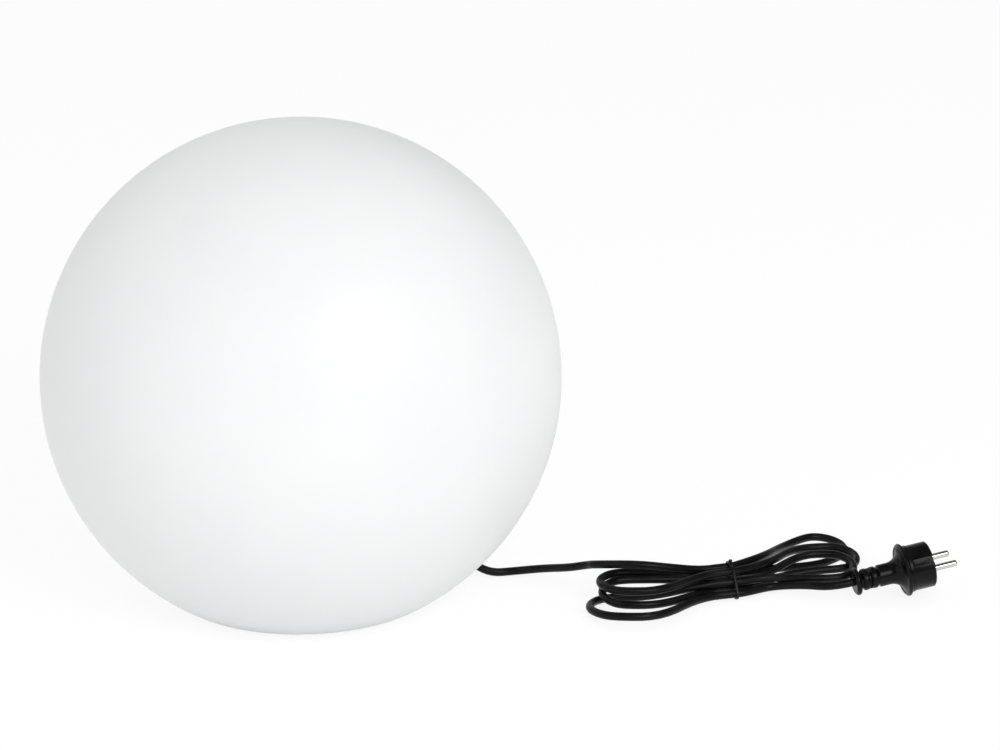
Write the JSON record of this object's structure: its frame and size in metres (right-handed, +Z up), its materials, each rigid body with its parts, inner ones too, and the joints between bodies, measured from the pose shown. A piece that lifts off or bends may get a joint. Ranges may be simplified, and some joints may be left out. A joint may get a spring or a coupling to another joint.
{
  "type": "garden globe light",
  "caption": "Large moulded globe that hides a screw-in lamp on a post, set on a low weatherproof base, with a coiled mains lead and moulded plug.",
  "frame": {"origin": "on the ground, under the middle of the globe", "axes": "+Z up through the globe; the lead leaves towards +X and lies on the ground there"},
  "size_m": [0.7077, 0.3998, 0.3703],
  "materials": {
    "globe": "satin translucent white polyethylene",
    "brass": "turned",
    "base": "moulded, fine texture",
    "seal": "matt",
    "fixings": "stainless",
    "holder": "moulded",
    "post": "moulded",
    "cord": "matt sheath",
    "live_core": "insulated core",
    "neutral_core": "insulated core",
    "ceramic": "fired",
    "cap_metal": "rolled",
    "insulator": "black vitreous",
    "lamp_housing": "white moulded",
    "board": "white solder mask",
    "diffuser": "opal",
    "tie": "coated wire",
    "plug": "moulded, satin",
    "pins": "nickel plated"
  },
  "bodies": {
    "base": {"base_housing": "base", "base_gasket": "seal", "base_screws": "fixings", "base_cover": "base", "cover_screws": "fixings", "foot_pads": "seal", "strain_relief": "seal", "cord_clamp": "holder", "clamp_screws": "fixings", "cord_inner": "cord", "wire_live": "live_core", "wire_neutral": "neutral_core", "lamp_post": "post", "post_screws": "fixings", "holder_nipple": "brass", "nipple_nut": "brass", "holder_cup": "holder", "contact_block": "ceramic", "holder_terminals": "brass", "holder_shell": "holder", "screw_sleeve": "cap_metal", "centre_contact": "brass", "cord_lead": "cord", "cord_hank": "cord", "cord_tail": "cord", "cord_tie": "tie", "plug_body": "plug", "plug_insert": "plug", "plug_pins": "pins"},
    "globe": {"globe_shell": "globe", "globe_seat": "globe", "threaded_inserts": "brass"},
    "bulb": {"bulb_contact": "cap_metal", "bulb_insulator": "insulator", "bulb_cap": "cap_metal", "bulb_housing": "lamp_housing", "led_board": "board", "bulb_diffuser": "diffuser"}
  },
  "joints": [
    {"name": "globe_lift", "type": "slide", "parent": "base", "child": "globe", "axis": [0, 0, 1], "range_m": [0, 0.2]},
    {"name": "bulb_out", "type": "slide", "parent": "base", "child": "bulb", "axis": [0, 0, 1], "range_m": [0, 0.035]}
  ]
}
